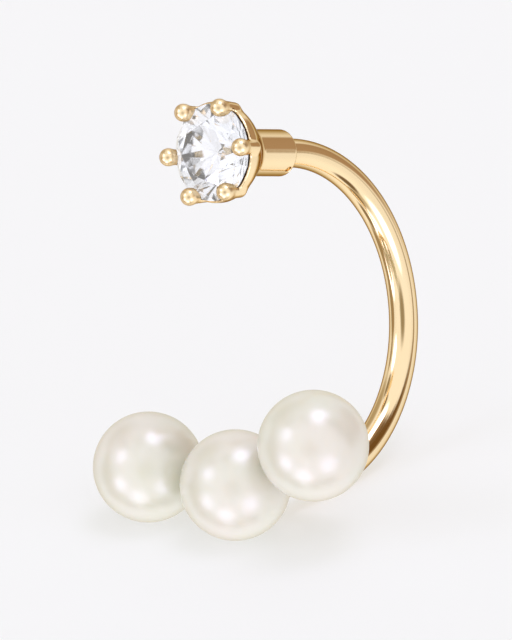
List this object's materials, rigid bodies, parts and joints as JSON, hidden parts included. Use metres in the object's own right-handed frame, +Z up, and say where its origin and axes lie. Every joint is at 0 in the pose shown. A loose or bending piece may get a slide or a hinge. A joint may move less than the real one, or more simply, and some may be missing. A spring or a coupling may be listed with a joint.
{
  "type": "ear jacket earring",
  "caption": "Ear jacket earring: a claw-set brilliant in front of the lobe, a round gold wire bent behind it and a row of pearls under it; the head slides off the wire.",
  "frame": {"origin": "on the surface that the earring stands on, under the middle of its box", "axes": "+Z up as it stands on its left and middle pearls and the wire's lowest bend, +Y back along the head's axis laid level, +X to the wearer's-view right, where the higher pearl is"},
  "size_m": [0.0114, 0.0136, 0.0155],
  "materials": {
    "gold": "polished",
    "crystal": "polished",
    "pearl": "gloss"
  },
  "bodies": {
    "wire_and_pearls": {"ear_wire": "gold", "pearl_left": "pearl", "pearl_middle": "pearl", "pearl_right": "pearl"},
    "head": {"setting": "gold", "stone": "crystal"}
  },
  "joints": [
    {"name": "head_slide", "type": "slide", "parent": "wire_and_pearls", "child": "head", "axis": [0, -0.9413, 0.3374], "range_m": [0, 0.003]}
  ]
}
